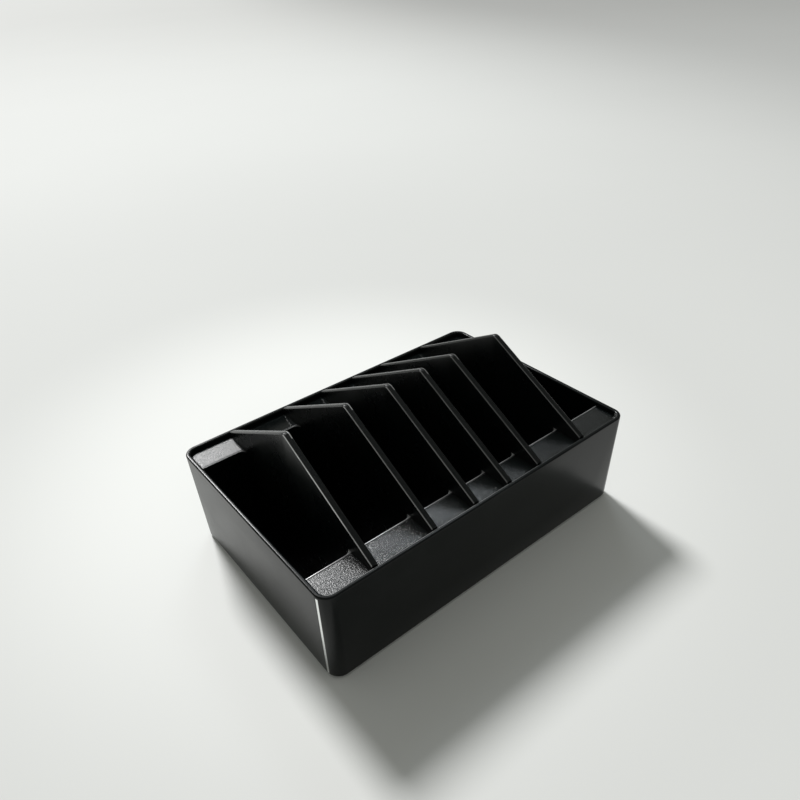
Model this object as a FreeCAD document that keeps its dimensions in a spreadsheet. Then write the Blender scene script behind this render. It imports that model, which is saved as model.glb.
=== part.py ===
# Hobby workstation organizer: an open desk caddy for small hand tools.
#
# The object is two plastic mouldings. The outer case is a low drafted tray with rounded corners. The
# divider insert stands in it: six gabled dividers, cast in one with the end walls of the wells and with
# the ledges that close the space behind those walls. Four screws come up through the floor of the case
# into bosses under the ledges, and four rubber feet sit in pockets over the screw heads.
#
# Frame: millimetres, Z up, X along the length, Y across. The origin is on the table, under the middle.

import FreeCAD, Part
import math
import os
import Sketcher
from FreeCAD import Vector

document = FreeCAD.newDocument("organizer")
sheet = document.addObject("Spreadsheet::Sheet", "Sizes")

# Sizes that can be set, each written once.
SIZES = [
    # Outer case
    ("length", "130", "case, outside, along X at the rim"),
    ("width", "87.7", "case, outside, along Y at the rim"),
    ("body_height", "36.5", "case, from its underside to the rim"),
    ("foot_stand", "0.8", "gap that the feet leave under the case"),
    ("draft_inset", "1.15", "how far each side leans in from rim to base"),
    ("corner_radius", "4.6", "upright corners, outside"),
    ("wall", "1.6", "side walls"),
    ("floor_thick", "1.6", "floor"),
    ("rim_round_out", "0.5", "rounding of the rim's outer edge"),
    ("rim_round_in", "0.7", "rounding of the rim's inner edge"),
    ("rim_out_share", "0.4", "most of the wall that the outer rounding may take"),
    ("rim_in_share", "0.5", "most of the wall that the inner rounding may take"),
    ("base_round", "0.8", "rounding where the sides meet the underside"),
    # Divider insert
    ("insert_gap", "0.2", "clearance between the insert and the walls"),
    ("ledge_drop", "1.7", "from the rim down to the ledges"),
    ("ledge_width", "10.4", "ledges, from the inner face of the wall to the well"),
    ("ledge_thick", "1.6", "thickness of the ledges"),
    ("ledge_lip", "0.3", "rounding of the ledges' edge over the wells"),
    ("insert_wall", "1.6", "end walls of the wells"),
    ("well_corner", "2.2", "upright inside corners of the wells"),
    ("divider_thick", "2.2", "dividers"),
    ("divider_round", "0.6", "rounding along the dividers' top edges"),
    ("divider_edge_share", "0.4", "most of the thickness that one such rounding may take"),
    ("ridge_rise", "23.2", "from the rim to where a divider's two slopes would meet"),
    ("ridge_round", "2.5", "radius of the ridge"),
    ("gable_inset", "0.95", "from the outside of the wall to where a slope meets the rim's level"),
    # Screws and what they pass through
    ("screw_inset", "6.3", "screws, from the inside of the short walls"),
    ("shank_radius", "1.0", "screw shank"),
    ("shank_length", "9.0", "screw, from under the head to the tip"),
    ("tip_length", "1.2", "tapered end of the shank"),
    ("tip_radius", "0.3", "blunt end of the tip"),
    ("head_radius", "1.8", "screw head"),
    ("head_height", "1.3", "screw head"),
    ("head_round", "0.5", "rounding of the screw head"),
    ("recess_reach", "1.1", "cross recess, from the middle to the end of an arm"),
    ("recess_half", "0.25", "cross recess, half the width of an arm"),
    ("recess_depth", "0.7", "cross recess"),
    ("head_gap", "0.15", "clearance round and under the head"),
    ("hole_gap", "0.15", "clearance of the shank in the case"),
    ("thread_gap", "0.04", "clearance of the shank in its boss"),
    ("tip_gap", "1.0", "free depth past the tip"),
    ("pad_wall", "0.8", "wall of the raised pads in the case, round the head"),
    ("pad_rise", "1.6", "raised pads, above the floor"),
    ("boss_wall", "1.3", "wall of the bosses, round the shank"),
    # Feet
    ("foot_radius", "3.6", "rubber feet"),
    ("foot_sunk", "0.6", "depth of the pockets that hold the feet"),
    ("foot_gap", "0.15", "clearance round the feet in their pockets"),
    ("foot_round", "0.4", "rounding of the feet's lower edge"),
    # One length that every cut runs past what it cuts
    ("overrun", "5", "how far the cuts run past the material"),
]
# The dividers' mid planes from left to right, as shares of half the inside length. The wells differ in
# width, so there is no common step.
DIVIDER_SHARES = ("-0.7287", "-0.3785", "-0.1112", "0.1183", "0.3391", "0.6743")

# Sizes that follow from the others.
DERIVED = [
    ("zero", "0"),
    ("half_length", "=length / 2"),
    ("half_width", "=width / 2"),
    ("rim_z", "=foot_stand + body_height"),
    ("floor_z", "=foot_stand + floor_thick"),
    ("ledge_z", "=rim_z - ledge_drop"),
    ("draft_slope", "=draft_inset / body_height"),
    ("base_half_length", "=half_length - draft_inset"),
    ("base_half_width", "=half_width - draft_inset"),
    ("inner_half_length", "=half_length - wall"),
    ("inner_half_width", "=half_width - wall"),
    ("inner_radius", "=corner_radius - wall"),
    ("floor_half_length", "=inner_half_length - draft_slope * (rim_z - floor_z)"),
    ("floor_half_width", "=inner_half_width - draft_slope * (rim_z - floor_z)"),
    ("rim_fillet_out", "=min(rim_round_out; wall * rim_out_share)"),
    ("rim_fillet_in", "=min(rim_round_in; wall * rim_in_share)"),
    ("block_low_length", "=floor_half_length - insert_gap"),
    ("block_low_width", "=floor_half_width - insert_gap"),
    ("block_high_length", "=inner_half_length - draft_slope * ledge_drop - insert_gap"),
    ("block_high_width", "=inner_half_width - draft_slope * ledge_drop - insert_gap"),
    ("block_radius", "=inner_radius - insert_gap"),
    ("well_reach", "=inner_half_width - ledge_width"),
    ("hollow_start", "=well_reach + insert_wall"),
    ("shelf_z", "=ledge_z - ledge_thick"),
    ("hollow_height", "=shelf_z - floor_z"),
    ("cut_end", "=inner_half_length + overrun"),
    ("cut_side", "=inner_half_width + overrun"),
    ("gable_foot", "=half_width - gable_inset"),
    ("gable_end_z", "=rim_z + ridge_rise * (gable_foot - block_high_width) / gable_foot"),
    ("ridge_centre", "=rim_z + ridge_rise - ridge_round * hypot(gable_foot; ridge_rise) / gable_foot"),
    ("divider_fillet", "=min(divider_round; divider_thick * divider_edge_share)"),
    ("screw_x", "=floor_half_length - screw_inset"),
    ("screw_y", "=(hollow_start + floor_half_width) / 2"),
    ("pocket_z", "=foot_stand + foot_sunk"),
    ("seat_depth", "=head_height + head_gap"),
    ("seat_z", "=pocket_z + seat_depth"),
    ("pad_z", "=floor_z + pad_rise"),
    ("pad_radius", "=head_radius + head_gap + pad_wall"),
    ("boss_radius", "=shank_radius + boss_wall"),
    ("boss_height", "=shelf_z + ledge_thick / 2 - pad_z"),
    ("bore_radius", "=shank_radius + thread_gap"),
    ("bore_depth", "=seat_z + shank_length + tip_gap - pad_z"),
    ("hole_radius", "=shank_radius + hole_gap"),
    ("hole_depth", "=pad_z + overrun - seat_z"),
    ("seat_radius", "=head_radius + head_gap"),
    ("pocket_radius", "=foot_radius + foot_gap"),
    ("head_z", "=seat_z - head_height"),
    ("taper_z", "=seat_z + shank_length - tip_length"),
    ("tip_z", "=seat_z + shank_length"),
    ("foot_thick", "=foot_stand + foot_sunk"),
]
for number, share in enumerate(DIVIDER_SHARES, 1):
    SIZES.append(("divider_%d_share" % number, share, "place of one divider"))
    DERIVED.append(("place_%d" % number, "=divider_%d_share * inner_half_length" % number))
    DERIVED.append(("left_face_%d" % number, "=place_%d - divider_thick / 2" % number))
    DERIVED.append(("right_face_%d" % number, "=place_%d + divider_thick / 2" % number))
NUMBERS = range(1, len(DIVIDER_SHARES) + 1)

row = 0
for alias, text, meaning in SIZES:
    row += 1
    sheet.set("A%d" % row, alias)
    sheet.set("B%d" % row, text)
    sheet.set("C%d" % row, meaning)
    sheet.setAlias("B%d" % row, alias)
for alias, text in DERIVED:
    row += 1
    sheet.set("A%d" % row, alias)
    sheet.set("B%d" % row, text)
    sheet.setAlias("B%d" % row, alias)
document.recompute()

# What a sketch calls its upright axis, its origin, and the points of an element.
UPRIGHT_AXIS, ORIGIN = range(-2, 0)
START, END, CENTRE = range(1, 4)
# Two points nearer than this share of the length are the same point.
SAME_SHARE = 1e-6
SAME = sheet.length * SAME_SHARE


def number_of(size):
    """The number behind a size's name. A minus before the name turns the sign round."""
    if size.startswith("-"):
        return -sheet.get(size[1:])
    return sheet.get(size)


def expression_of(size):
    """The same size as an expression that stays bound to the sheet."""
    if size.startswith("-"):
        return "-Sizes." + size[1:]
    return "Sizes." + size


def new_body(name):
    body = document.addObject("PartDesign::Body", name)
    body.Label = name
    return body


def new_sketch(body, name, role, height=None):
    """A sketch on one of the body's own origin planes, raised by a named size."""
    sketch = body.newObject("Sketcher::SketchObject", name)
    for feature in body.Origin.OriginFeatures:
        if feature.Role == role:
            sketch.AttachmentSupport = [(feature, "")]
    sketch.MapMode = "FlatFace"
    if height:
        sketch.setExpression("AttachmentOffset.Base.z", expression_of(height))
    return sketch


def hold(sketch, kind, element, point, size):
    """Keep a point at a distance from the sketch's origin."""
    value = number_of(size)
    index = sketch.addConstraint(Sketcher.Constraint(kind, ORIGIN, START, element, point, value))
    sketch.setExpression("Constraints[%d]" % index, expression_of(size))


def hold_radius(sketch, element, size):
    index = sketch.addConstraint(Sketcher.Constraint("Radius", element, number_of(size)))
    sketch.setExpression("Constraints[%d]" % index, expression_of(size))


def rectangle(sketch, left, right, low, high):
    """A rectangle whose four sides lie at named places."""
    corners = [
        Vector(number_of(left), number_of(low), 0),
        Vector(number_of(right), number_of(low), 0),
        Vector(number_of(right), number_of(high), 0),
        Vector(number_of(left), number_of(high), 0),
    ]
    side = []
    for start, end in zip(corners, corners[1:] + corners[:1]):
        side.append(sketch.addGeometry(Part.LineSegment(start, end), False))
    for this, following in zip(side, side[1:] + side[:1]):
        sketch.addConstraint(Sketcher.Constraint("Coincident", this, END, following, START))
    for level in (side[0], side[2]):
        sketch.addConstraint(Sketcher.Constraint("Horizontal", level))
    for upright in (side[1], side[3]):
        sketch.addConstraint(Sketcher.Constraint("Vertical", upright))
    hold(sketch, "DistanceX", side[0], START, left)
    hold(sketch, "DistanceY", side[0], START, low)
    hold(sketch, "DistanceX", side[2], START, right)
    hold(sketch, "DistanceY", side[2], START, high)


def rounded_rectangle(sketch, left, right, low, high, radius):
    """A rectangle with four equal round corners."""
    x0, x1 = number_of(left), number_of(right)
    y0, y1 = number_of(low), number_of(high)
    r = number_of(radius)
    quarter = math.pi / 2
    outline = (
        (Vector(x0 + r, y0, 0), Vector(x1 - r, y0, 0), Vector(x1 - r, y0 + r, 0), -quarter),
        (Vector(x1, y0 + r, 0), Vector(x1, y1 - r, 0), Vector(x1 - r, y1 - r, 0), 0),
        (Vector(x1 - r, y1, 0), Vector(x0 + r, y1, 0), Vector(x0 + r, y1 - r, 0), quarter),
        (Vector(x0, y1 - r, 0), Vector(x0, y0 + r, 0), Vector(x0 + r, y0 + r, 0), 2 * quarter),
    )
    edge = []
    for start, end, centre, angle in outline:
        circle = Part.Circle(centre, Vector(0, 0, 1), r)
        edge.append(sketch.addGeometry(Part.LineSegment(start, end), False))
        edge.append(sketch.addGeometry(Part.ArcOfCircle(circle, angle, angle + quarter), False))
    for this, following in zip(edge, edge[1:] + edge[:1]):
        sketch.addConstraint(Sketcher.Constraint("Tangent", this, END, following, START))
    sketch.addConstraint(Sketcher.Constraint("Horizontal", edge[0]))
    sketch.addConstraint(Sketcher.Constraint("Vertical", edge[2]))
    sketch.addConstraint(Sketcher.Constraint("Horizontal", edge[4]))
    sketch.addConstraint(Sketcher.Constraint("Vertical", edge[6]))
    for arc in (edge[3], edge[5], edge[7]):
        sketch.addConstraint(Sketcher.Constraint("Equal", edge[1], arc))
    hold_radius(sketch, edge[1], radius)
    hold(sketch, "DistanceY", edge[0], START, low)
    hold(sketch, "DistanceX", edge[2], START, right)
    hold(sketch, "DistanceY", edge[4], START, high)
    hold(sketch, "DistanceX", edge[6], START, left)


def circles(sketch, places, radius):
    """Equal circles at named places."""
    first = None
    for x, y in places:
        centre = Vector(number_of(x), number_of(y), 0)
        circle = sketch.addGeometry(Part.Circle(centre, Vector(0, 0, 1), number_of(radius)), False)
        hold(sketch, "DistanceX", circle, CENTRE, x)
        hold(sketch, "DistanceY", circle, CENTRE, y)
        if first is None:
            first = circle
            hold_radius(sketch, circle, radius)
        else:
            sketch.addConstraint(Sketcher.Constraint("Equal", first, circle))


def loft(body, name, kind, low, high):
    """A straight loft between two sketches, adding or cutting."""
    feature = body.newObject("PartDesign::" + kind, name)
    feature.Profile = low
    feature.Sections = [high]
    feature.Ruled = True
    return feature


def pad(body, name, sketch, length, both_ways=False):
    feature = body.newObject("PartDesign::Pad", name)
    feature.Profile = sketch
    if both_ways:
        feature.SideType = "Symmetric"
    feature.setExpression("Length", expression_of(length))
    return feature


def pocket(body, name, sketch, length=None, upward=False):
    """A cut away from the sketch, down unless upward is set, and right through without a length."""
    feature = body.newObject("PartDesign::Pocket", name)
    feature.Profile = sketch
    feature.Reversed = upward
    if length:
        feature.setExpression("Length", expression_of(length))
    else:
        feature.Type = "ThroughAll"
    return feature


def rounding(body, name, radius, wanted):
    """A fillet on every edge of the body so far that the test wants."""
    document.recompute()
    base = body.Tip
    chosen = []
    for index, edge in enumerate(base.Shape.Edges, 1):
        if wanted(edge):
            chosen.append("Edge%d" % index)
    feature = body.newObject("PartDesign::Fillet", name)
    feature.Base = (base, chosen)
    feature.setExpression("Radius", expression_of(radius))
    return feature


def level_at(edge, size):
    """True when both ends of the edge lie at a named height."""
    return all(abs(vertex.Z - number_of(size)) < SAME for vertex in edge.Vertexes)


def on_outline(edge, half_x, half_y):
    """True when both ends of the edge lie on the sides of a named rectangle."""
    for vertex in edge.Vertexes:
        off_x = abs(abs(vertex.X) - number_of(half_x))
        off_y = abs(abs(vertex.Y) - number_of(half_y))
        if min(off_x, off_y) > SAME:
            return False
    return True


# The four places where a screw joins the two mouldings and a foot covers it.
FIXINGS = (
    ("screw_x", "screw_y"),
    ("-screw_x", "screw_y"),
    ("-screw_x", "-screw_y"),
    ("screw_x", "-screw_y"),
)

# Outer case: a drafted tray. Its corners keep one radius from base to rim.
case = new_body("outer_case")
case_low = new_sketch(case, "case_low", "XY_Plane", "foot_stand")
rounded_rectangle(
    case_low, "-base_half_length", "base_half_length", "-base_half_width", "base_half_width", "corner_radius"
)
case_high = new_sketch(case, "case_high", "XY_Plane", "rim_z")
rounded_rectangle(case_high, "-half_length", "half_length", "-half_width", "half_width", "corner_radius")
loft(case, "case_block", "AdditiveLoft", case_low, case_high)

cavity_low = new_sketch(case, "cavity_low", "XY_Plane", "floor_z")
rounded_rectangle(
    cavity_low, "-floor_half_length", "floor_half_length", "-floor_half_width", "floor_half_width", "inner_radius"
)
cavity_high = new_sketch(case, "cavity_high", "XY_Plane", "rim_z")
rounded_rectangle(
    cavity_high, "-inner_half_length", "inner_half_length", "-inner_half_width", "inner_half_width", "inner_radius"
)
loft(case, "cavity", "SubtractiveLoft", cavity_low, cavity_high)

# The rim is rounded on both edges, the inner one more softly, and the base is rounded all round.
rounding(
    case,
    "rim_outer_edge",
    "rim_fillet_out",
    lambda edge: level_at(edge, "rim_z") and on_outline(edge, "half_length", "half_width"),
)
rounding(
    case,
    "rim_inner_edge",
    "rim_fillet_in",
    lambda edge: level_at(edge, "rim_z") and on_outline(edge, "inner_half_length", "inner_half_width"),
)
rounding(
    case,
    "base_edge",
    "base_round",
    lambda edge: level_at(edge, "foot_stand") and on_outline(edge, "base_half_length", "base_half_width"),
)

# Raised pads on the floor carry the insert's bosses. From below, each has a pocket for a foot, then a
# seat for the screw head, then the hole for the shank.
pads = new_sketch(case, "pad_circles", "XY_Plane", "floor_z")
circles(pads, FIXINGS, "pad_radius")
pad(case, "boss_pads", pads, "pad_rise")
foot_pockets = new_sketch(case, "pocket_circles", "XY_Plane", "foot_stand")
circles(foot_pockets, FIXINGS, "pocket_radius")
pocket(case, "foot_pockets", foot_pockets, "foot_sunk", upward=True)
head_seats = new_sketch(case, "seat_circles", "XY_Plane", "pocket_z")
circles(head_seats, FIXINGS, "seat_radius")
pocket(case, "head_seats", head_seats, "seat_depth", upward=True)
shank_holes = new_sketch(case, "hole_circles", "XY_Plane", "seat_z")
circles(shank_holes, FIXINGS, "hole_radius")
pocket(case, "shank_holes", shank_holes, "hole_depth", upward=True)

# Divider insert: a block that follows the inside of the case up to the ledges, opened into wells.
insert = new_body("divider_insert")
block_low = new_sketch(insert, "block_low", "XY_Plane", "floor_z")
rounded_rectangle(
    block_low, "-block_low_length", "block_low_length", "-block_low_width", "block_low_width", "block_radius"
)
block_high = new_sketch(insert, "block_high", "XY_Plane", "ledge_z")
rounded_rectangle(
    block_high, "-block_high_length", "block_high_length", "-block_high_width", "block_high_width", "block_radius"
)
loft(insert, "ledge_block", "AdditiveLoft", block_low, block_high)

# Each well lies between two divider faces. The first and the last run on through the ends of the block,
# so the short walls of the case close them.
lefts = ["-cut_end"] + ["right_face_%d" % number for number in NUMBERS]
rights = ["left_face_%d" % number for number in NUMBERS] + ["cut_end"]
for number, (left, right) in enumerate(zip(lefts, rights), 1):
    opening = new_sketch(insert, "well_outline_%d" % number, "XY_Plane", "ledge_z")
    rounded_rectangle(opening, left, right, "-well_reach", "well_reach", "well_corner")
    pocket(insert, "well_%d" % number, opening)

# The ledges' edges over the wells are eased before the dividers grow out of the block.
rounding(
    insert,
    "ledge_edges",
    "ledge_lip",
    lambda edge: level_at(edge, "ledge_z")
    and all(abs(vertex.Y) < number_of("well_reach") + SAME for vertex in edge.Vertexes),
)

# Under the ledges the block is hollow between the dividers, and open towards the long walls.
for number, (left, right) in enumerate(zip(lefts, rights), 1):
    under = new_sketch(insert, "hollow_outline_%d" % number, "XY_Plane", "floor_z")
    rectangle(under, left, right, "hollow_start", "cut_side")
    rectangle(under, left, right, "-cut_side", "-hollow_start")
    pocket(insert, "hollow_%d" % number, under, "hollow_height", upward=True)

# Each divider is a gable: level with the rim at the long walls, two straight slopes and a round ridge.
# Its foot is let into the block between the end walls of the wells.
for number in NUMBERS:
    profile = new_sketch(insert, "divider_outline_%d" % number, "YZ_Plane", "place_%d" % number)
    foot_y = number_of("hollow_start")
    end_y = number_of("block_high_width")
    foot_low, foot_high = number_of("shelf_z"), number_of("ledge_z")
    end_high = number_of("gable_end_z")
    rise, run = number_of("ridge_rise"), number_of("gable_foot")
    slant = (rise * rise + run * run) ** 0.5
    touch_y = number_of("ridge_round") * rise / slant
    touch_z = number_of("ridge_centre") + number_of("ridge_round") * run / slant
    points = [
        Vector(-touch_y, touch_z, 0),
        Vector(-end_y, end_high, 0),
        Vector(-end_y, foot_high, 0),
        Vector(-foot_y, foot_high, 0),
        Vector(-foot_y, foot_low, 0),
        Vector(foot_y, foot_low, 0),
        Vector(foot_y, foot_high, 0),
        Vector(end_y, foot_high, 0),
        Vector(end_y, end_high, 0),
        Vector(touch_y, touch_z, 0),
    ]
    line = []
    for start, end in zip(points, points[1:]):
        line.append(profile.addGeometry(Part.LineSegment(start, end), False))
    top = Vector(0, number_of("ridge_centre") + number_of("ridge_round"), 0)
    ridge = profile.addGeometry(Part.Arc(points[-1], top, points[0]), False)
    for this, following in zip(line, line[1:]):
        profile.addConstraint(Sketcher.Constraint("Coincident", this, END, following, START))
    for upright in (line[1], line[3], line[5], line[7]):
        profile.addConstraint(Sketcher.Constraint("Vertical", upright))
    for level in (line[2], line[4], line[6]):
        profile.addConstraint(Sketcher.Constraint("Horizontal", level))
    profile.addConstraint(Sketcher.Constraint("Tangent", line[8], END, ridge, START))
    profile.addConstraint(Sketcher.Constraint("Tangent", ridge, END, line[0], START))
    hold(profile, "DistanceX", line[1], START, "-block_high_width")
    hold(profile, "DistanceY", line[1], START, "gable_end_z")
    hold(profile, "DistanceY", line[2], START, "ledge_z")
    hold(profile, "DistanceX", line[3], START, "-hollow_start")
    hold(profile, "DistanceY", line[4], START, "shelf_z")
    hold(profile, "DistanceX", line[5], START, "hollow_start")
    hold(profile, "DistanceY", line[6], START, "ledge_z")
    hold(profile, "DistanceX", line[7], START, "block_high_width")
    hold(profile, "DistanceY", line[8], START, "gable_end_z")
    hold_radius(profile, ridge, "ridge_round")
    hold(profile, "DistanceY", ridge, CENTRE, "ridge_centre")
    profile.addConstraint(Sketcher.Constraint("PointOnObject", ridge, CENTRE, UPRIGHT_AXIS))
    pad(insert, "divider_%d" % number, profile, "divider_thick", both_ways=True)

# Bosses hang under the ledges down to the pads, bored for the screws.
bosses = new_sketch(insert, "boss_circles", "XY_Plane", "pad_z")
circles(bosses, FIXINGS, "boss_radius")
pad(insert, "bosses", bosses, "boss_height")
bores = new_sketch(insert, "bore_circles", "XY_Plane", "pad_z")
circles(bores, FIXINGS, "bore_radius")
pocket(insert, "bores", bores, "bore_depth", upward=True)

# The slopes and ridges of the dividers are rounded on both edges.
rounding(
    insert,
    "divider_top_edges",
    "divider_fillet",
    lambda edge: all(vertex.Z > number_of("rim_z") for vertex in edge.Vertexes)
    and abs(edge.Vertexes[0].X - edge.Vertexes[-1].X) < SAME
    and abs(edge.Vertexes[0].Y - edge.Vertexes[-1].Y) > SAME,
)

# Screws: one is turned, with a domed head down and a tapered tip up, and mirrored to the other three.
screws = new_body("insert_screws")
turned = new_sketch(screws, "screw_outline", "XZ_Plane", "-screw_y")
turned.setExpression("AttachmentOffset.Base.x", expression_of("screw_x"))
outline = (
    ("zero", "head_z"),
    ("head_radius", "head_z"),
    ("head_radius", "seat_z"),
    ("shank_radius", "seat_z"),
    ("shank_radius", "taper_z"),
    ("tip_radius", "tip_z"),
    ("zero", "tip_z"),
)
points = [Vector(number_of(x), number_of(z), 0) for x, z in outline]
line = []
for start, end in zip(points, points[1:] + points[:1]):
    line.append(turned.addGeometry(Part.LineSegment(start, end), False))
for this, following in zip(line, line[1:] + line[:1]):
    turned.addConstraint(Sketcher.Constraint("Coincident", this, END, following, START))
for element, (x, z) in zip(line, outline):
    hold(turned, "DistanceX", element, START, x)
    hold(turned, "DistanceY", element, START, z)
screw = screws.newObject("PartDesign::Revolution", "screw")
screw.Profile = turned
screw.ReferenceAxis = (turned, ["V_Axis"])
rounding(
    screws,
    "head_edge",
    "head_round",
    lambda edge: level_at(edge, "head_z") and len(edge.Vertexes) == 1,
)
for name, half_x, half_y in (
    ("recess_along", "recess_reach", "recess_half"),
    ("recess_across", "recess_half", "recess_reach"),
):
    arm = new_sketch(screws, name + "_outline", "XY_Plane", "head_z")
    arm.setExpression("AttachmentOffset.Base.x", expression_of("screw_x"))
    arm.setExpression("AttachmentOffset.Base.y", expression_of("screw_y"))
    rectangle(arm, "-" + half_x, half_x, "-" + half_y, half_y)
    pocket(screws, name, arm, "recess_depth", upward=True)
mirrors = []
for name, role in (("across_length", "YZ_Plane"), ("across_width", "XZ_Plane")):
    for feature in screws.Origin.OriginFeatures:
        if feature.Role == role:
            mirror = document.addObject("PartDesign::Mirrored", name)
            mirror.MirrorPlane = (feature, [""])
            mirrors.append(mirror)
document.recompute()
all_four = screws.newObject("PartDesign::MultiTransform", "all_four_screws")
all_four.TransformMode = "Whole shape"
all_four.Transformations = mirrors
screws.Tip = all_four

# Feet: rubber discs, flat on top against their pockets, rounded below where they meet the table.
feet = []
for name, x, y in (
    ("foot_front_left", "-screw_x", "-screw_y"),
    ("foot_front_right", "screw_x", "-screw_y"),
    ("foot_back_left", "-screw_x", "screw_y"),
    ("foot_back_right", "screw_x", "screw_y"),
):
    foot = new_body(name)
    disc = new_sketch(foot, name + "_circle", "XY_Plane")
    circles(disc, [(x, y)], "foot_radius")
    pad(foot, name + "_disc", disc, "foot_thick")
    rounding(foot, name + "_edge", "foot_round", lambda edge: level_at(edge, "zero"))
    feet.append(foot)

document.recompute()

# Nothing is written unless every object is sound and every cut has removed something.
for item in document.Objects:
    if "Invalid" in item.State or "Error" in item.State:
        raise RuntimeError("failed: %s %s" % (item.Name, item.State))
    if item.TypeId == "PartDesign::Pocket" and item.Shape.Volume >= item.BaseFeature.Shape.Volume:
        raise RuntimeError("cuts nothing: " + item.Name)
pieces = [case, insert, screws] + feet
for piece in pieces:
    shape = piece.Shape
    if shape.isNull() or not shape.isValid():
        raise RuntimeError("no valid shape: " + piece.Label)

os.makedirs("parts", exist_ok=True)
for piece in pieces:
    shape = piece.Shape
    box = shape.BoundBox
    shape.exportStep("parts/%s.step" % piece.Label)
    print(
        "%-18s solids %d  volume %9.1f  x %7.2f %7.2f  y %7.2f %7.2f  z %6.2f %6.2f"
        % (piece.Label, len(shape.Solids), shape.Volume, box.XMin, box.XMax, box.YMin, box.YMax, box.ZMin, box.ZMax)
    )
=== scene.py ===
# %% [markdown]
# # A hobby workstation organizer, dressed in Blender
#
# The real object is a low black box that stands on a workbench and keeps small things apart and
# upright. It is two plastic mouldings: a drafted case with a rounded rim, and an insert of six gabled
# dividers that makes seven wells. Its shape is already exact in the CAD model, so this lesson is mostly
# about finish: how glossy moulded plastic differs from the grained ledges beside it, and how light
# shows that.

import math

import bmesh
import bpy
from mathutils import Matrix, Vector


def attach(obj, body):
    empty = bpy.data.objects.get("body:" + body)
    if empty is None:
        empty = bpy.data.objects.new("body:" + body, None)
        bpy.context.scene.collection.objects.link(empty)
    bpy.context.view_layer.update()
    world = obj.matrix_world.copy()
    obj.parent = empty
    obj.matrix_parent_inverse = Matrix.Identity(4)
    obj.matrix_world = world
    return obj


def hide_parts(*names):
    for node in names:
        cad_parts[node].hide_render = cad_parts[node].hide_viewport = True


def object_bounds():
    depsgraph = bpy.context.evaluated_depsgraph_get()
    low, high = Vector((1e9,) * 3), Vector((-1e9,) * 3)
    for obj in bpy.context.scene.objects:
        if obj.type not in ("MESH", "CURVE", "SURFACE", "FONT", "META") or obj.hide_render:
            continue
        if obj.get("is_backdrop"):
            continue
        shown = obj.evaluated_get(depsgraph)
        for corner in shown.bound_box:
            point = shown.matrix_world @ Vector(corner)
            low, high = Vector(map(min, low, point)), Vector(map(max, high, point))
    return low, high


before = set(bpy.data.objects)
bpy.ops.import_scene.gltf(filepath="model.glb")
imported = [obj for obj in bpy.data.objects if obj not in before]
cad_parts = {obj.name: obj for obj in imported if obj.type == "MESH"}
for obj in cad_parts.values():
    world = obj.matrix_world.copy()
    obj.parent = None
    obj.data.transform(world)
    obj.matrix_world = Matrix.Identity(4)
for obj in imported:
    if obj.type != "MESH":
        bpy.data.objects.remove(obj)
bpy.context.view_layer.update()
print("CAD nodes:", sorted(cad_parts))

# %% [markdown]
# ## The sizes that the finish depends on
#
# Patterns such as the grain on the ledges have to end exactly where the moulding's edges are. They
# could be painted by hand on each face, but sizes are safer: a mask that is worked out from the width
# of a ledge stays right when the ledge is looked at from any side. All of them are in metres.

# %% Sizes of the mouldings
MM = 0.001
HALF_LENGTH = 65.0 * MM
HALF_WIDTH = 43.85 * MM
RIM_HEIGHT = 37.3 * MM
WALL = 1.6 * MM
INSIDE_LENGTH = HALF_LENGTH - WALL
INSIDE_WIDTH = HALF_WIDTH - WALL
LEDGE_HEIGHT = RIM_HEIGHT - 1.7 * MM
WELL_REACH = INSIDE_WIDTH - 10.4 * MM
DIVIDER_THICK = 2.2 * MM
DIVIDER_SHARES = (-0.7287, -0.3785, -0.1112, 0.1183, 0.3391, 0.6743)
FIRST_DIVIDER = DIVIDER_SHARES[0] * INSIDE_LENGTH
print("dividers at", [round(share * INSIDE_LENGTH / MM, 1) for share in DIVIDER_SHARES], "mm")

# %% [markdown]
# ## The camera
#
# A photograph's perspective can be worked out from the straight edges of a box. Here the rim, the base
# and the dividers fix the lens, the place and the tilt of the camera, so that the model lands on the
# same pixels. The camera looks down on the near left corner from a short distance, with a slight roll.
# Blender gives a lens and its sensor in millimetres, and all else in metres.

# %% Camera
CAMERA_PLACE = Vector((-0.12255, -0.15717, 0.18523))
CAMERA_YAW = math.radians(37.39)
CAMERA_PITCH = math.radians(33.94)
CAMERA_ROLL = math.radians(-2.77)
LENS, SENSOR_WIDTH = 31.80, 36.0
NEAREST, FURTHEST = 0.01, 20.0

ahead = Vector((
    math.sin(CAMERA_YAW) * math.cos(CAMERA_PITCH),
    math.cos(CAMERA_YAW) * math.cos(CAMERA_PITCH),
    -math.sin(CAMERA_PITCH),
))
level_right = Vector((math.cos(CAMERA_YAW), -math.sin(CAMERA_YAW), 0.0))
level_up = level_right.cross(ahead)
right = level_right * math.cos(CAMERA_ROLL) + level_up * math.sin(CAMERA_ROLL)
up = level_up * math.cos(CAMERA_ROLL) - level_right * math.sin(CAMERA_ROLL)
lens_data = bpy.data.cameras.new("camera")
lens_data.lens = LENS
lens_data.sensor_width = SENSOR_WIDTH
lens_data.clip_start = NEAREST
lens_data.clip_end = FURTHEST
camera = bpy.data.objects.new("camera", lens_data)
bpy.context.scene.collection.objects.link(camera)
camera.matrix_world = Matrix.Translation(CAMERA_PLACE) @ Matrix((right, up, -ahead)).transposed().to_4x4()
bpy.context.scene.camera = camera
bpy.context.scene.view_settings.view_transform = "Standard"
print("camera", tuple(round(value, 3) for value in CAMERA_PLACE))

# %% [markdown]
# ## Writing materials as sums
#
# A shader made of dozens of Math nodes is hard to read. The small class below wraps one socket, so that
# a mask can be written as `1 - mask` or `height > 0.03`, and each sign adds its node behind the scenes.
# Everything that isn't a sum comes from one method, `node`, which is given the kind of node, its
# settings and what goes into its sockets.

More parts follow.
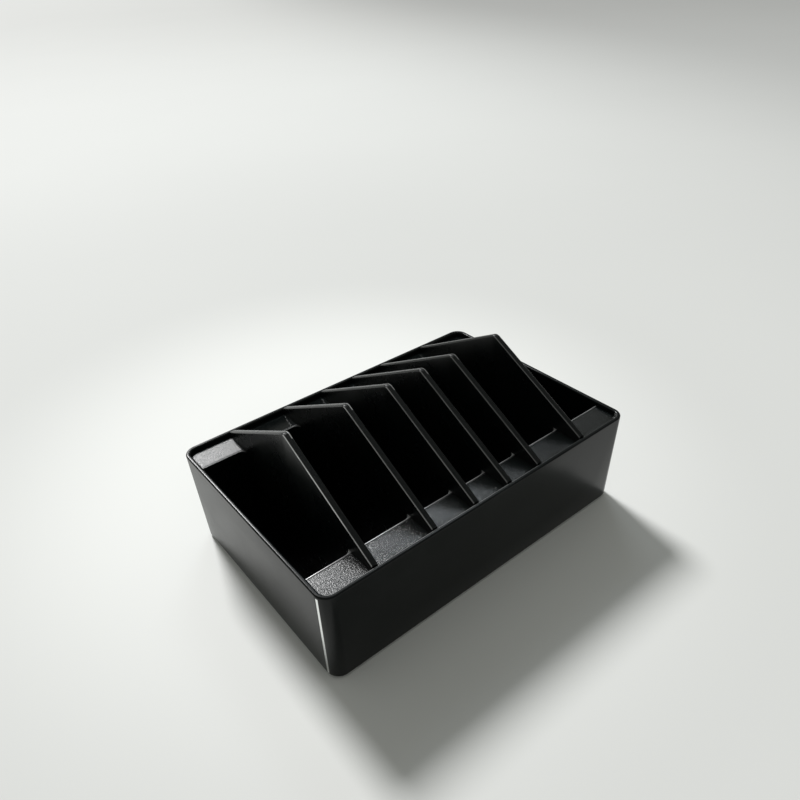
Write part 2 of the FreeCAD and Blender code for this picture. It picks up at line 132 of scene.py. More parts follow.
# %% A socket that can stand in a sum
class Value:
    """One output socket of a material."""

    def __init__(self, finish, socket):
        self.finish = finish
        self.socket = socket

    def maths(self, operation, *terms):
        return self.finish.node("ShaderNodeMath", {"operation": operation}, dict(enumerate(terms)))

    def __add__(self, other):
        return self.maths("ADD", self, other)

    def __sub__(self, other):
        return self.maths("SUBTRACT", self, other)

    def __mul__(self, other):
        return self.maths("MULTIPLY", self, other)

    def __gt__(self, other):
        return self.maths("GREATER_THAN", self, other)

    def __lt__(self, other):
        return self.maths("LESS_THAN", self, other)

    def __rsub__(self, other):
        return self.maths("SUBTRACT", other, self)

    __radd__ = __add__
    __rmul__ = __mul__

    def __abs__(self):
        return self.maths("ABSOLUTE", self)

    def soft_step(self, low, high):
        """0 below low, 1 above high, and a smooth rise between them."""
        return self.finish.node(
            "ShaderNodeMapRange",
            {"interpolation_type": "SMOOTHSTEP", "clamp": True},
            {"Value": self, "From Min": low, "From Max": high},
        )

    def within(self, rise, fall):
        """1 between a soft rise and a soft fall, and 0 outside them."""
        return self.soft_step(*rise) * (1 - self.soft_step(*fall))

    def spread(self, low, high):
        """A value of 0 to 1 spread between two others."""
        return self * (high - low) + low


class Finish:
    """One material, built node by node."""

    def __init__(self, name):
        self.material = bpy.data.materials.new(name)
        self.material.use_nodes = True
        self.tree = self.material.node_tree
        self.tree.nodes.clear()

    def node(self, kind, settings, sockets, output=0):
        made = self.tree.nodes.new(kind)
        for name, value in settings.items():
            setattr(made, name, value)
        for name, value in sockets.items():
            if isinstance(value, Value):
                self.tree.links.new(value.socket, made.inputs[name])
            else:
                made.inputs[name].default_value = value
        return Value(self, made.outputs[output])

    def place(self):
        """The point on the object, and its three coordinates."""
        point = self.node("ShaderNodeTexCoord", {}, {}, "Object")
        parts = [self.node("ShaderNodeSeparateXYZ", {}, {0: point}, axis) for axis in "XYZ"]
        return point, *parts

    def facing(self, axis):
        """How far the surface faces along one axis, from -1 to 1."""
        normal = self.node("ShaderNodeNewGeometry", {}, {}, "Normal")
        return self.node("ShaderNodeSeparateXYZ", {}, {0: normal}, axis)

    def speckle(self, point, size, detail=2.0, roughness=0.5, offset=0.0):
        """Soft noise from 0 to 1 whose blobs are about one size across."""
        moved = self.node("ShaderNodeVectorMath", {"operation": "ADD"}, {0: point, 1: (offset,) * 3})
        return self.node(
            "ShaderNodeTexNoise",
            {},
            {"Vector": moved, "Scale": 1.0 / size, "Detail": detail, "Roughness": roughness},
        )

    def blend(self, mask, low, high):
        """One colour where the mask is 0 and another where it is 1."""
        return self.node("ShaderNodeMix", {"data_type": "RGBA"}, {0: mask, 6: low, 7: high}, 2)

    def bump(self, height, distance, strength=1.0, under=None):
        sockets = {"Height": height, "Distance": distance, "Strength": strength}
        if under is not None:
            sockets["Normal"] = under
        return self.node("ShaderNodeBump", {}, sockets)

    def shader(self, **sockets):
        """A Principled shader. Underscores stand for the spaces in a socket's name."""
        named = {name.replace("_", " "): value for name, value in sockets.items()}
        return self.node("ShaderNodeBsdfPrincipled", {}, named)

    def wear(self, shader):
        """Make a shader the one that the material ends in."""
        output = self.tree.nodes.new("ShaderNodeOutputMaterial")
        self.tree.links.new(shader.socket, output.inputs["Surface"])
        print(self.material.name, "has", len(self.tree.nodes), "nodes")
        return self.material


def paint(piece, material):
    """Give every face of a piece one material."""
    piece.data.materials.clear()
    piece.data.materials.append(material)


# %% [markdown]
# ## Smooth copies of CAD meshes
#
# A CAD mesh is a heap of loose triangles. Joined up, shaded smooth, and with its real edges marked
# sharp, the same shape reflects like one moulded skin. The alternative, a modifier on the CAD mesh
# itself, would do as well, but a copy can also be cut, which the insert needs below.

# %% Copy a CAD node as one joined mesh
CREASE = math.radians(24)
SAME_POINT, ON_PLANE = 0.002 * MM, 0.001 * MM


def joined_copy(node_name, piece_name, cut_height=None):
    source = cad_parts[node_name]
    bm = bmesh.new()
    bm.from_mesh(source.data)
    bm.transform(source.matrix_world)
    bmesh.ops.remove_doubles(bm, verts=bm.verts, dist=SAME_POINT)
    if cut_height is not None:
        everything = list(bm.verts) + list(bm.edges) + list(bm.faces)
        plane = {"plane_co": (0, 0, cut_height), "plane_no": (0, 0, 1)}
        bmesh.ops.bisect_plane(bm, geom=everything, dist=ON_PLANE, clear_outer=True, **plane)
    for face in bm.faces:
        face.smooth = True
    for edge in bm.edges:
        edge.smooth = len(edge.link_faces) == 2 and edge.calc_face_angle(0.0) < CREASE
    mesh = bpy.data.meshes.new(piece_name)
    bm.to_mesh(mesh)
    bm.free()
    piece = bpy.data.objects.new(piece_name, mesh)
    bpy.context.scene.collection.objects.link(piece)
    print(piece_name, len(mesh.polygons), "faces")
    return piece


# %% [markdown]
# ## The black plastic of the case
#
# Black plastic shows almost none of its own colour. What the eye reads is the floor and the lights
# reflected in it, so its roughness matters most: a moulded box is smooth but not polished, with faint
# smudges from handling and a few hairline scratches. Those could be painted, but as roughness and bump
# they come and go with the light, as the real ones do. Only the smudges also lighten the black a little.

# %% Handling marks that both mouldings share
BLACK = (0.0015, 0.0026, 0.0026, 1.0)
WORN_BLACK = (0.0038, 0.0050, 0.0050, 1.0)
SMUDGE_SIZE = 22 * MM
SCRATCH_PATCH = 30 * MM
SCRATCH_TURN = (0.5, 0.9, 0.3)
SCRATCH_SQUEEZE = (14.0, 300.0, 300.0)


def handling_marks(finish, point):
    """Smudges from 0 to 1, and a mask of hairline scratches."""
    smudge = finish.speckle(point, SMUDGE_SIZE, detail=4.0, roughness=0.6).soft_step(0.45, 0.75)
    stretched = finish.node(
        "ShaderNodeMapping",
        {"vector_type": "POINT"},
        {"Vector": point, "Rotation": SCRATCH_TURN, "Scale": SCRATCH_SQUEEZE},
    )
    streak = finish.node("ShaderNodeTexNoise", {}, {"Vector": stretched, "Scale": 1.0, "Detail": 1.0})
    patch = finish.speckle(point, SCRATCH_PATCH, detail=1.0, offset=3.0).soft_step(0.55, 0.65)
    scratch = streak.soft_step(0.76, 0.79) * patch
    return smudge, scratch


print("smudges", round(SMUDGE_SIZE / MM), "mm across, scratches over", round(SCRATCH_PATCH / MM), "mm")

# %% [markdown]
# ## Painted highlights on the case
#
# Two places on the case carry painted highlights. A thin bright line runs up each upright corner's
# curve, and the near rim's inner edge is painted bright, most of all at the left. Both are masks for
# Metallic with a pale colour, so they mirror like metal. Thin strips of mesh could show them too, but a
# mask can't stand off the surface or flicker against it.

# %% Painted highlights on the corners and the rim
CORNER_RADIUS = 4.6 * MM
DRAFT_INSET = 1.15 * MM
BODY_HEIGHT = 36.5 * MM
DRAFT = DRAFT_INSET / BODY_HEIGHT
HIGHLIGHT_TURN_LOW, HIGHLIGHT_TURN_HIGH = math.radians(9.0), math.radians(15.8)
HIGHLIGHT_HALF_WIDTH = 0.42 * MM
HIGHLIGHT_BOTTOM, HIGHLIGHT_TOP = 1.6 * MM, RIM_HEIGHT - 1.1 * MM
# How strong the painted highlight on the near rim is, and how it fades from left to right.
RIM_HIGHLIGHT = 0.6
RIM_HIGHLIGHT_FADES = (-75 * MM, 45 * MM)
RIM_HIGHLIGHT_LOST = 0.9


def parting_line(x, y, z):
    """A mask of the painted highlight lines, one upright on each corner's curve."""
    inset = (RIM_HEIGHT - z) * DRAFT
    along = abs(x) + inset - (HALF_LENGTH - CORNER_RADIUS)
    across = abs(y) + inset - (HALF_WIDTH - CORNER_RADIUS)
    turn = z * ((HIGHLIGHT_TURN_HIGH - HIGHLIGHT_TURN_LOW) / RIM_HEIGHT) + HIGHLIGHT_TURN_LOW
    off = abs(across - along * turn)
    line = 1 - off.soft_step(HIGHLIGHT_HALF_WIDTH * 0.7, HIGHLIGHT_HALF_WIDTH * 1.3)
    outside = along > CORNER_RADIUS * 0.9
    return line * outside * (z < HIGHLIGHT_TOP) * (z > HIGHLIGHT_BOTTOM)


def worn_rim(finish, x, y, z):
    """A mask of the painted highlight on the near rim's inner edge, found by its slope, that fades from
    left to right.
    """
    edge = finish.facing("Y").within((0.30, 0.50), (0.80, 0.92)) * (z > RIM_HEIGHT - WALL)
    return edge * (y < 0) * (1 - x.soft_step(*RIM_HIGHLIGHT_FADES) * RIM_HIGHLIGHT_LOST)


# The width of the painted highlight lines on the corners.
print("painted corner highlights", round(2 * HIGHLIGHT_HALF_WIDTH / MM, 2), "mm wide")

# %% The case
FLOW_DEPTH = 0.25 * MM
RIPPLE_DEPTH = 0.006 * MM
CASE_FLOW, CASE_RIPPLE = 35 * MM, 0.9 * MM
# The pale colour of the painted highlights; with Metallic it mirrors like metal.
PAINTED_HIGHLIGHT_COLOUR = (0.93, 0.95, 0.94, 1.0)


def case_plastic():
    finish = Finish("case_plastic")
    point, x, y, z = finish.place()
    smudge, scratch = handling_marks(finish, point)
    flow = finish.speckle(point, CASE_FLOW, detail=3.0, offset=1.0)
    ripple = finish.speckle(point, CASE_RIPPLE, detail=2.0, offset=2.0)
    waves = finish.bump(flow, FLOW_DEPTH, 0.3)
    # Painted highlights: the lines up the corners and the near rim's inner edge.
    painted_highlight = parting_line(x, y, z) + worn_rim(finish, x, y, z) * RIM_HIGHLIGHT
    plain = finish.blend(smudge, BLACK, WORN_BLACK)
    shader = finish.shader(
        Base_Color=finish.blend(painted_highlight, plain, PAINTED_HIGHLIGHT_COLOUR),
        Metallic=painted_highlight,
        Roughness=0.21 + smudge * 0.05 + scratch * 0.2 + ripple * 0.02,
        Normal=finish.bump(ripple + scratch * 0.8, RIPPLE_DEPTH, 0.35, under=waves),
        IOR=1.28,
    )
    return finish.wear(shader)


case = joined_copy("outer_case", "case_shell")
paint(case, case_plastic())
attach(case, "root")
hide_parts("outer_case")

# %% [markdown]
# ## The insert: polished faces beside grained ledges
#
# The mould of the real insert is polished, except on the ledges and along the tops of the dividers,
# which are spark-eroded to a fine grain. Three materials on three sets of faces would do, but the CAD
# mesh has no faces that end where the grain does. So one material does all, with masks worked out from
# the surface's place and slope. Along a ledge, the lip over the well has no grain, and on the near side
# it carries a painted highlight. A narrow dull band follows, and then the grain begins.

# %% Masks of the ledges
LEDGE_TOLERANCE = 0.12 * MM
LIP_END = WELL_REACH + 0.40 * MM
GRAIN_START, GRAIN_FULL = WELL_REACH + 0.85 * MM, WELL_REACH + 1.05 * MM


def ledge_masks(finish, y, z):
    """The ledges' grain, their lips along the near wall that get a painted highlight, and the band
    between the two.
    """
    level = finish.facing("Z").soft_step(0.90, 0.97)
    at_ledge = abs(z - LEDGE_HEIGHT) < LEDGE_TOLERANCE
    past_lip = abs(y).soft_step(GRAIN_START, GRAIN_FULL)
    on_lip = abs(y) < LIP_END
    ledge = level * at_ledge * past_lip
    lip = level * at_ledge * on_lip * (y < 0)
    groove = level * at_ledge * (1 - on_lip) * (1 - past_lip)
    return ledge, lip, groove


print("the ledges' grain is full", round((GRAIN_FULL - WELL_REACH) / MM, 2), "mm from the wells")

# %% [markdown]
# ## The dividers' tops
#
# Some edges of the dividers carry a painted highlight that fades from left to right: each divider's
# left shoulder on the near slope, and its right one over the ridge and down the far slope. The flat
# between the shoulders keeps its grain. A bevel and an edge attribute would find these edges too. The
# direction that a face looks in does it without either, because every shoulder is round.

# %% Masks of the dividers' edges
ABOVE_RIM = RIM_HEIGHT + 0.3 * MM
CREST_START = -2.5 * MM


def edge_masks(finish, y, z):
    """The dividers' grained tops, and the two kinds of edge beside them that get a painted highlight."""
    upward = finish.facing("Z").soft_step(0.78, 0.86)
    rightward = finish.facing("X")
    crest = rightward.within((0.03, 0.2), (0.5, 0.7)) * (z > ABOVE_RIM) * (y > CREST_START)
    top = upward * (z > ABOVE_RIM) * (1 - crest) * (1 - (y > 0) * 0.5)
    leftward = rightward * -1.0
    shoulder = leftward.within((0.60, 0.80), (0.96, 0.995)) * (z > RIM_HEIGHT) * (y < 0)
    return top, crest, shoulder


# %% [markdown]
# ## Two shaders mixed
#
# Polished plastic and eroded plastic differ in how much they mirror, and not only in roughness. IOR
# sets that, and it is one number for a whole shader, so two shaders are mixed by a mask. The first
# carries the polished faces, the ledges' grain and the painted edge highlights, the second the dull
# tops and bands.
# The grain is a bump with a little roughness. It has kept its bite on the first well's ledges. On the
# others it is rubbed smoother, most of all along the far side, where the ledges mirror the dark.

# %% The insert's material
GRAIN_SIZE = 0.46 * MM
MOULDED_DEPTH = 0.040 * MM
ERODED_DEPTH = 0.05 * MM
INSERT_FLOW = 30 * MM
HIGHLIGHT_PATCH_SIZE = 6 * MM
HIGHLIGHT_FADES = (-75 * MM, 25 * MM)
HIGHLIGHT_LOST = 0.82
SHOULDER_HIGHLIGHT, CREST_HIGHLIGHT, LIP_HIGHLIGHT = (0.6, 1.1), (0.9, 1.3), (0.3, 0.65)
# The pale colour of the painted highlights on the dividers' edges and the near lips; with Metallic it
# mirrors like metal.
EDGE_HIGHLIGHT_COLOUR = (0.78, 0.79, 0.79, 1.0)

# Each holds a near and a far ledge's value, first for the first well and then for the others.
LEDGE_ROUGHNESS = ((0.23, 0.29), (0.11, 0.06))
PEBBLE_ROUGHNESS = ((0.08, 0.08), (0.08, 0.03))
GRAIN_BITE = ((0.84, 0.89), (0.76, 0.05))


def insert_plastic():
    finish = Finish("insert_plastic")
    point, x, y, z = finish.place()
    smudge, scratch = handling_marks(finish, point)
    ledge, lip, groove = ledge_masks(finish, y, z)
    top, crest, shoulder = edge_masks(finish, y, z)
    pebble = finish.speckle(point, GRAIN_SIZE, detail=2.0, roughness=0.75).soft_step(0.34, 0.66)

    def by_ledge(values):
        first_well, others = ((y > 0).spread(near, far) for near, far in values)
        rubbed = x > FIRST_DIVIDER
        return first_well * (1 - rubbed) + others * rubbed

    polished = 0.27 + smudge * 0.06 + scratch * 0.2
    rough = ledge * (by_ledge(LEDGE_ROUGHNESS) + pebble * by_ledge(PEBBLE_ROUGHNESS))
    grained = ledge * by_ledge(GRAIN_BITE)
    # Painted highlights on the dividers' shoulders and crests, in patches and fading from left to right,
    # and on the near lips.
    highlight_patches = finish.speckle(point, HIGHLIGHT_PATCH_SIZE, detail=3.0, offset=7.0).soft_step(0.25, 0.6)
    edges = shoulder * highlight_patches.spread(*SHOULDER_HIGHLIGHT) + crest * highlight_patches.spread(*CREST_HIGHLIGHT)
    edges = edges * (1 - x.soft_step(*HIGHLIGHT_FADES) * HIGHLIGHT_LOST)
    painted_highlight = edges + lip * highlight_patches.spread(*LIP_HIGHLIGHT)
    flow = finish.speckle(point, INSERT_FLOW, detail=2.0, offset=1.0)
    waves = finish.bump(flow, FLOW_DEPTH, 0.3)
    plain = finish.blend(smudge, BLACK, WORN_BLACK)
    moulded = finish.shader(
        Base_Color=finish.blend(painted_highlight, plain, EDGE_HIGHLIGHT_COLOUR),
        Metallic=painted_highlight,
        Roughness=polished * (1 - ledge) + rough,
        Normal=finish.bump(pebble * grained + scratch * 0.05, MOULDED_DEPTH, 0.8, under=waves),
        IOR=1.5,
    )
    eroded = finish.shader(
        Base_Color=finish.blend(pebble, BLACK, WORN_BLACK),
        Roughness=0.30 + pebble * 0.16,
        Normal=finish.bump(pebble, ERODED_DEPTH, 0.8),
        IOR=1.27,
    )
    return finish.wear(finish.node("ShaderNodeMixShader", {}, {0: top + groove, 1: moulded, 2: eroded}))


black_insert = insert_plastic()

# %% [markdown]
# ## Six dividers by one rule
#
# Every divider is the same gable: a line that rises to a ridge and falls again, swept by a section
# with rounded shoulders. Modelling one and copying it by hand would work, but a Geometry Nodes tree
# keeps the rule: the rise, the thickness, both radii and the six places are inputs, so a change to
# one number moves all six.

# %% The sizes of a divider
RIDGE_RISE = 23.2 * MM
RIDGE_RADIUS = 2.5 * MM
SHOULDER_RADIUS = 0.6 * MM
GABLE_FOOT = HALF_WIDTH - 0.95 * MM
GABLE_END = INSIDE_WIDTH - 0.2 * MM
GABLE_BASE = LEDGE_HEIGHT + 0.02 * MM
SWEEP_DEPTH = 1.2 * MM
RIDGE_STEPS = 10
SHOULDER_STEPS = 5
print("a divider rises", round(RIDGE_RISE / MM, 1), "mm over the rim")

# %% [markdown]
# ## A helper for trees of nodes
#
# A tree can be laid out by hand in Blender's editor, but a script keeps it beside the sizes that it
# uses. The helper makes each size a named input and runs the tree once. What comes out is kept as a
# plain mesh, so it can ride, be painted and be exported as any other piece is.

# %% A small helper for trees of Geometry Nodes
class Tree:
    """A Geometry Nodes group with named inputs, each with a first value."""

    def __init__(self, name, inputs):
        self.group = bpy.data.node_groups.new(name, "GeometryNodeTree")
        self.group.interface.new_socket("Geometry", in_out="OUTPUT", socket_type="NodeSocketGeometry")
        self.values = {}
        for title, value in inputs.items():
            kind = "NodeSocketMaterial" if isinstance(value, bpy.types.Material) else "NodeSocketFloat"
            socket = self.group.interface.new_socket(title, in_out="INPUT", socket_type=kind)
            self.values[socket.identifier] = value
        self.entry = self.group.nodes.new("NodeGroupInput")

    def given(self, title):
        return self.entry.outputs[title]

    def node(self, kind, settings, sockets, output=0):
        made = self.group.nodes.new(kind)
        for name, value in settings.items():
            setattr(made, name, value)
        for name, value in sockets.items():
            if isinstance(value, bpy.types.NodeSocket):
                self.group.links.new(value, made.inputs[name])
            else:
                made.inputs[name].default_value = value
        return made.outputs[output]

    def maths(self, operation, *terms):
        return self.node("ShaderNodeMath", {"operation": operation}, dict(enumerate(terms)))

    def point(self, x, y, z):
        return self.node("ShaderNodeCombineXYZ", {}, {"X": x, "Y": y, "Z": z})

    def build(self, result, piece_name):
        """Run the tree once and keep what it makes as a plain mesh."""
        leave = self.group.nodes.new("NodeGroupOutput")
        self.group.links.new(result, leave.inputs["Geometry"])
        holder = bpy.data.objects.new(piece_name, bpy.data.meshes.new(piece_name))
        bpy.context.scene.collection.objects.link(holder)
        modifier = holder.modifiers.new("rule", "NODES")
        modifier.node_group = self.group
        for identifier, value in self.values.items():
            modifier[identifier] = value
        view = bpy.context.evaluated_depsgraph_get()
        mesh = bpy.data.meshes.new_from_object(holder.evaluated_get(view))
        holder.modifiers.remove(modifier)
        holder.data = mesh
        print(piece_name, len(mesh.polygons), "faces")
        return holder


# %% [markdown]
# ## From a bent line to six gables
#
# The ridge is made by a Fillet Curve node on a bent line of three points, the shoulders by another on
# a rectangle, and Curve to Mesh sweeps the one along the other. A swept bar is as deep everywhere as
# its section, and its ends lean. So the section's low edge carries an attribute, by which it is found
# after the sweep and set down on the ledge, and what reaches past the walls is drawn back to them along
# the slope. The alternative, cutting with a Boolean, would leave untidy edges.

# %% Build the dividers
def bent_line(tree):
    """The line that a divider's top follows: up to the ridge and down again, with a round turn."""
    index = tree.node("GeometryNodeInputIndex", {}, {})
    side = tree.maths("SUBTRACT", index, 1.0)
    height_share = tree.maths("SUBTRACT", 1.0, tree.maths("ABSOLUTE", side))
    y = tree.maths("MULTIPLY", side, tree.given("Foot"))
    z = tree.maths("MULTIPLY_ADD", height_share, tree.given("Rise"), tree.given("Rim"))
    points = tree.node("GeometryNodeMeshLine", {"mode": "OFFSET"}, {"Count": 3})
    bend = tree.point(0.0, y, z)
    points = tree.node("GeometryNodeSetPosition", {}, {"Geometry": points, "Position": bend})
    rail = tree.node("GeometryNodeMeshToCurve", {}, {"Mesh": points})
    rail = tree.node(
        "GeometryNodeFilletCurve",
        {"mode": "POLY"},
        {"Curve": rail, "Radius": tree.given("Ridge Radius"), "Count": RIDGE_STEPS},
    )
    return tree.node("GeometryNodeSetCurveNormal", {"mode": "Z_UP"}, {"Curve": rail})


def shoulder_section(tree):
    """The section swept along that line: a rectangle that hangs from it, with two round corners."""
    depth = tree.given("Sweep Depth")
    section = tree.node(
        "GeometryNodeCurvePrimitiveQuadrilateral", {}, {"Width": tree.given("Thickness"), "Height": depth}
    )
    hang = tree.point(0.0, tree.maths("MULTIPLY", depth, 0.5), 0.0)
    section = tree.node("GeometryNodeSetPosition", {}, {"Geometry": section, "Offset": hang})
    place = tree.node("GeometryNodeInputPosition", {}, {})
    across = tree.node("ShaderNodeSeparateXYZ", {}, {0: place}, "Y")
    low = tree.maths("GREATER_THAN", across, tree.maths("MULTIPLY", depth, 0.5))
    section = tree.node(
        "GeometryNodeStoreNamedAttribute",
        {"data_type": "FLOAT", "domain": "POINT"},
        {"Geometry": section, "Name": "low", "Value": low},
    )
    radius = tree.maths("MULTIPLY", tree.maths("SUBTRACT", 1.0, low), tree.given("Shoulder Radius"))
    return tree.node(
        "GeometryNodeFilletCurve",
        {"mode": "POLY"},
        {"Curve": section, "Radius": radius, "Count": SHOULDER_STEPS},
    )


def one_divider(tree):
    """Sweep, then stand the low edge on the ledge and cut both ends off upright."""
    bar = tree.node(
        "GeometryNodeCurveToMesh",
        {},
        {"Curve": bent_line(tree), "Profile Curve": shoulder_section(tree), "Fill Caps": True},
    )
    low = tree.node("GeometryNodeInputNamedAttribute", {"data_type": "FLOAT"}, {"Name": "low"})
    place = tree.node("GeometryNodeInputPosition", {}, {})
    x, y, z = (tree.node("ShaderNodeSeparateXYZ", {}, {0: place}, axis) for axis in "XYZ")
    past = tree.maths("SUBTRACT", tree.maths("ABSOLUTE", y), tree.given("End"))
    is_past = tree.maths("GREATER_THAN", past, 0.0)
    slope = tree.maths("DIVIDE", tree.given("Rise"), tree.given("Foot"))
    end_y = tree.maths("MULTIPLY", tree.maths("SIGN", y), tree.given("End"))
    end_z = tree.maths("MULTIPLY_ADD", past, slope, z)
    bar = tree.node(
        "GeometryNodeSetPosition",
        {},
        {"Geometry": bar, "Selection": is_past, "Position": tree.point(x, end_y, end_z)},
    )
    base = tree.point(x, y, tree.given("Base"))
    is_low = tree.maths("GREATER_THAN", low, 0.5)
    return tree.node(
        "GeometryNodeSetPosition",
        {},
        {"Geometry": bar, "Selection": is_low, "Position": base},
    )


def divider_tree():
    sizes = {
        "Thickness": DIVIDER_THICK,
        "Foot": GABLE_FOOT,
        "End": GABLE_END,
        "Rim": RIM_HEIGHT,
        "Rise": RIDGE_RISE,
        "Ridge Radius": RIDGE_RADIUS,
        "Shoulder Radius": SHOULDER_RADIUS,
        "Sweep Depth": SWEEP_DEPTH,
        "Base": GABLE_BASE,
        "Inside Length": INSIDE_LENGTH,
        "Plastic": black_insert,
    }
    sizes.update({f"Share {count + 1}": share for count, share in enumerate(DIVIDER_SHARES)})
    tree = Tree("divider_rule", sizes)

    index = tree.node("GeometryNodeInputIndex", {}, {})
    choice = tree.group.nodes.new("GeometryNodeIndexSwitch")
    choice.data_type = "FLOAT"
    tree.group.links.new(index, choice.inputs["Index"])
    for count in range(len(DIVIDER_SHARES)):
        if count > 1:
            choice.index_switch_items.new()
        tree.group.links.new(tree.given(f"Share {count + 1}"), choice.inputs[str(count)])
    x = tree.maths("MULTIPLY", choice.outputs[0], tree.given("Inside Length"))
    places = tree.node("GeometryNodeMeshLine", {"mode": "OFFSET"}, {"Count": len(DIVIDER_SHARES)})
    places = tree.node(
        "GeometryNodeSetPosition", {}, {"Geometry": places, "Position": tree.point(x, 0.0, 0.0)}
    )
    row = tree.node("GeometryNodeInstanceOnPoints", {}, {"Points": places, "Instance": one_divider(tree)})
    row = tree.node("GeometryNodeRealizeInstances", {}, {"Geometry": row})
    return tree, tree.node(
        "GeometryNodeSetMaterial", {}, {"Geometry": row, "Material": tree.given("Plastic")}
    )


tree, row_of_dividers = divider_tree()
dividers = tree.build(row_of_dividers, "gable_dividers")
for edge in dividers.data.edges:
    edge.use_edge_sharp = False
dividers.data.shade_smooth()
dividers.data.set_sharp_from_angle(angle=CREASE)
paint(dividers, black_insert)

# %% [markdown]
# ## The wells below them
#
# Everything under the ledges stays as the CAD model has it, so the insert's copy is cut level just
# above the ledges, where the six gables take over.

# %% Cut the insert's copy and put both in place of the CAD node
wells = joined_copy("divider_insert", "insert_wells", cut_height=GABLE_BASE)
paint(wells, black_insert)
for piece in (wells, dividers):
    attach(piece, "root")
    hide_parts("divider_insert")

# %% [markdown]
# ## Rubber feet and steel screws
#
# Rubber is black too, but it scatters light: nearly matte, with a dusty bloom. The screws are zinc
# plated steel, a little tarnished. Both sit under the box, where they are seldom seen, so the CAD nodes
# keep their own meshes and only get a material.

# %% Rubber and steel
RUBBER, BLOOMED_RUBBER = (0.010, 0.010, 0.010, 1.0), (0.028, 0.027, 0.026, 1.0)
TARNISHED_ZINC, ZINC = (0.50, 0.50, 0.49, 1.0), (0.66, 0.66, 0.65, 1.0)
BLOOM_SIZE, PORE_SIZE, TARNISH_SIZE = 3 * MM, 0.25 * MM, 1.2 * MM
PORE_DEPTH, TARNISH_DEPTH = 0.05 * MM, 0.01 * MM


def foot_rubber():
    finish = Finish("foot_rubber")
    point, *_ = finish.place()
    bloom = finish.speckle(point, BLOOM_SIZE, detail=5.0, roughness=0.7)
    pores = finish.speckle(point, PORE_SIZE, detail=2.0)
    shader = finish.shader(
        Base_Color=finish.blend(bloom, RUBBER, BLOOMED_RUBBER),
        Roughness=0.75 + bloom * 0.15,
        Normal=finish.bump(pores, PORE_DEPTH, 0.4),
    )
    return finish.wear(shader)


def plated_steel():
    finish = Finish("plated_steel")
    point, *_ = finish.place()
    shine = finish.speckle(point, TARNISH_SIZE, detail=4.0)
    shader = finish.shader(
        Base_Color=finish.blend(shine, TARNISHED_ZINC, ZINC),
        Metallic=1.0,
        Roughness=0.28 + shine * 0.15,
        Normal=finish.bump(shine, TARNISH_DEPTH, 0.4),
    )
    return finish.wear(shader)


rubber = foot_rubber()
feet = [name for name in sorted(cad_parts) if name.startswith("foot_")]
for name in feet:
    paint(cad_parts[name], rubber)
paint(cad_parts["insert_screws"], plated_steel())
print("rubber on", feet, "and steel on the screws")

# %% [markdown]
# ## The floor
#
# The box stands on a plain pale table. Black plastic needs it: with no pale floor to mirror, the box's
# faces would have no shape. The lamp below lights the whole floor alike, while a real lamp's pool of
# light fades outwards. A nearer lamp would fade too, but it would also bend the shadow's edges, so the
# fade is in the table's colour, counted from a spot beside the box.

# %% Floor
FLOOR_REACH = 6.0
BRIGHT_SPOT = (0.0, 0.05, 0.0)
TABLE_LOW, TABLE_HIGH = (0.885, 0.895, 0.875, 1.0), (0.905, 0.915, 0.895, 1.0)
UNLIT = (0.0, 0.0, 0.0, 1.0)
CLOUD_SIZE, TOOTH_SIZE, TOOTH_DEPTH = 160 * MM, 1.5 * MM, 0.02 * MM

# How far from the bright spot each fade runs, and how much of the light it takes or gives back.
NEAR_FADE, NEAR_SHADE = (0.06, 0.18), 0.235
MIDDLE_FADE, MIDDLE_LIFT = (0.25, 0.6), 0.04
FAR_FADE, FAR_SHADE = (0.5, 2.4), 0.12
RIGHT_FADE, RIGHT_SHADE, RIGHT_LEAN = (0.15, 0.95), 0.27, 0.35


def table_top():
    finish = Finish("table_top")
    point, x, y, _ = finish.place()
    cloud = finish.speckle(point, CLOUD_SIZE, detail=2.0)
    tooth = finish.speckle(point, TOOTH_SIZE, detail=2.0)
    spot = {0: point, 1: BRIGHT_SPOT}
    away = finish.node("ShaderNodeVectorMath", {"operation": "DISTANCE"}, spot, "Value")
    near_shade = away.soft_step(*NEAR_FADE) * NEAR_SHADE
    far_shade = away.soft_step(*FAR_FADE) * FAR_SHADE - away.soft_step(*MIDDLE_FADE) * MIDDLE_LIFT
    far_shade = far_shade + (x - y * RIGHT_LEAN).soft_step(*RIGHT_FADE) * RIGHT_SHADE
    pale = finish.blend(cloud, TABLE_LOW, TABLE_HIGH)
    shader = finish.shader(
        Base_Color=finish.blend(near_shade + far_shade, pale, UNLIT),
        Roughness=0.75,
        Normal=finish.bump(tooth, TOOTH_DEPTH, 0.15),
    )
    return finish.wear(shader)


def flat_card(name, left, right, front, back, height):
    """A level sheet that faces up, marked as part of the stage."""
    corners = [(left, front, height), (right, front, height), (right, back, height), (left, back, height)]
    mesh = bpy.data.meshes.new(name)
    mesh.from_pydata(corners, [], [(0, 1, 2, 3)])
    card = bpy.data.objects.new(name, mesh)
    bpy.context.scene.collection.objects.link(card)
    card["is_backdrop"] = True
    print(name, "at", tuple(round(value, 2) for value in corners[0]))
    return card


floor = flat_card("floor", -FLOOR_REACH, FLOOR_REACH, -FLOOR_REACH, FLOOR_REACH, 0.0)
paint(floor, table_top())

# %% [markdown]
# ## A dark card
#
# A smooth black face mirrors whatever stands opposite. From the second well on, the real far ledges are
# black, so they must mirror something dark behind the box, up on the right. A black card does that here.
# It is seen in reflections alone: it throws no shadow and stays out of every view.

# %% A dark card behind
CARD_HEIGHT = 1.0
CARD_LEFT, CARD_RIGHT = 0.44, 1.5
CARD_FRONT, CARD_BACK = 1.18, 1.50


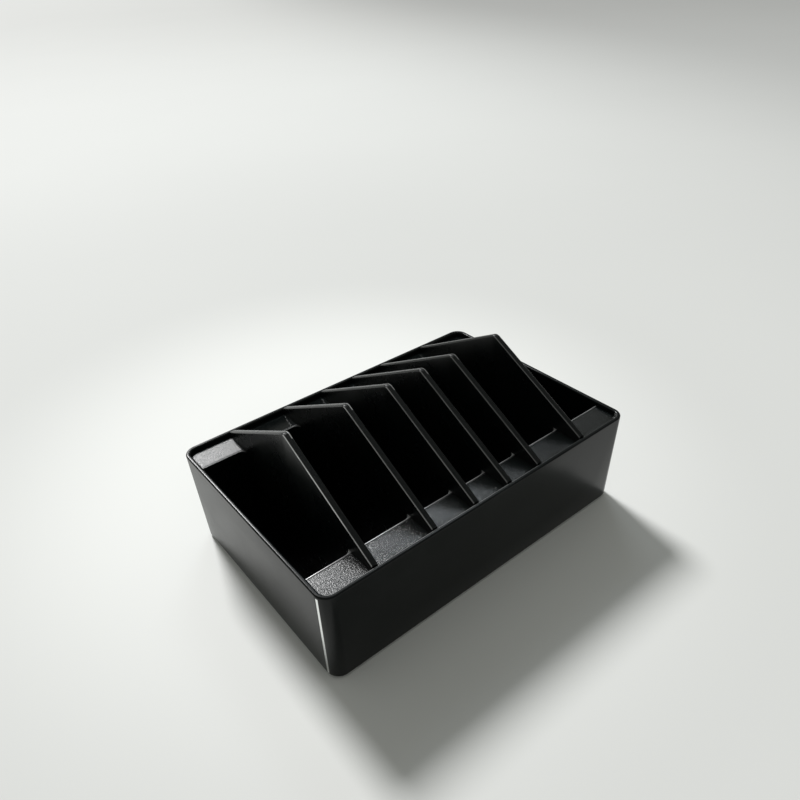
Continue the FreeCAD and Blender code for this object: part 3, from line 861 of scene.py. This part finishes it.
def dark_card():
    card = flat_card("dark_card", CARD_LEFT, CARD_RIGHT, CARD_FRONT, CARD_BACK, CARD_HEIGHT)
    card.visible_camera = False
    card.visible_diffuse = False
    card.visible_shadow = False
    finish = Finish("black_card")
    paint(card, finish.wear(finish.shader(Base_Color=UNLIT, Roughness=1.0, IOR=1.0)))
    return card


dark_card()

# %% [markdown]
# ## Lamps and room
#
# One broad lamp behind the box, a little to the right and halfway up, throws its shadow towards the
# camera. A sun lamp does this best, because its one angle sets how soft the shadow's edge is. The rest
# of the room is an even pale grey. It fills the shadow and is what the upright faces reflect. The second
# lamp is so weak that it hardly lights anything. It is there to be seen in the near ledges, as a window
# would be.

# %% The key lamp
KEY_TOWARDS = Vector((0.162, 1.08, 1.0)).normalized()
KEY_SPREAD = math.radians(13)
KEY_LEVEL = 3.25

key_data = bpy.data.lights.new("key", "SUN")
key_data.angle = KEY_SPREAD
key_data.energy = KEY_LEVEL
key = bpy.data.objects.new("key", key_data)
bpy.context.scene.collection.objects.link(key)
key.rotation_mode = "QUATERNION"
key.rotation_quaternion = KEY_TOWARDS.to_track_quat("Z", "Y")
print("the key lamp stands", round(math.degrees(math.asin(KEY_TOWARDS.z)), 1), "degrees up")

# %% The weak lamp
SHEEN_TOWARDS = Vector((0.62, 0.80, 1.0))
SHEEN_DISTANCE = 1.4
SHEEN_WIDTH, SHEEN_HEIGHT = 0.36, 0.28
SHEEN_LEVEL = 3.8
SHEEN_COLOUR = (0.92, 1.0, 1.06)


def soft_box(name, towards, distance, width, height, level, colour):
    """A weak rectangular lamp that faces the object, there to be seen in its smooth faces."""
    data = bpy.data.lights.new(name, "AREA")
    data.color = colour
    data.shape = "RECTANGLE"
    data.size = width
    data.size_y = height
    data.energy = level * math.pi * width * height
    box = bpy.data.objects.new(name, data)
    bpy.context.scene.collection.objects.link(box)
    box.location = towards.normalized() * distance
    box.rotation_mode = "QUATERNION"
    box.rotation_quaternion = towards.to_track_quat("Z", "Y")
    print(name, "gives", round(data.energy, 2), "watts")
    return box


soft_box("sheen", SHEEN_TOWARDS, SHEEN_DISTANCE, SHEEN_WIDTH, SHEEN_HEIGHT, SHEEN_LEVEL, SHEEN_COLOUR)

# %% The room
ROOM_COLOUR = (1.0, 1.02, 0.96, 1.0)
ROOM_LEVEL = 0.28

room = bpy.data.worlds.new("room")
room.use_nodes = True
backdrop = room.node_tree.nodes["Background"]
backdrop.inputs["Color"].default_value = ROOM_COLOUR
backdrop.inputs["Strength"].default_value = ROOM_LEVEL
bpy.context.scene.world = room
print("the room's level is", ROOM_LEVEL)

# %% [markdown]
# ## The size once more
#
# The dressed pieces have to fill the same box as the CAD model, or the part wouldn't fit where the model
# says it does. The cell below prints the size of the dressed pieces.

# %% Measure the size of the dressed pieces
visual_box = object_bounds()
low, high = visual_box
print("visual box", [round((b - a) / MM, 2) for a, b in zip(low, high)], "mm")
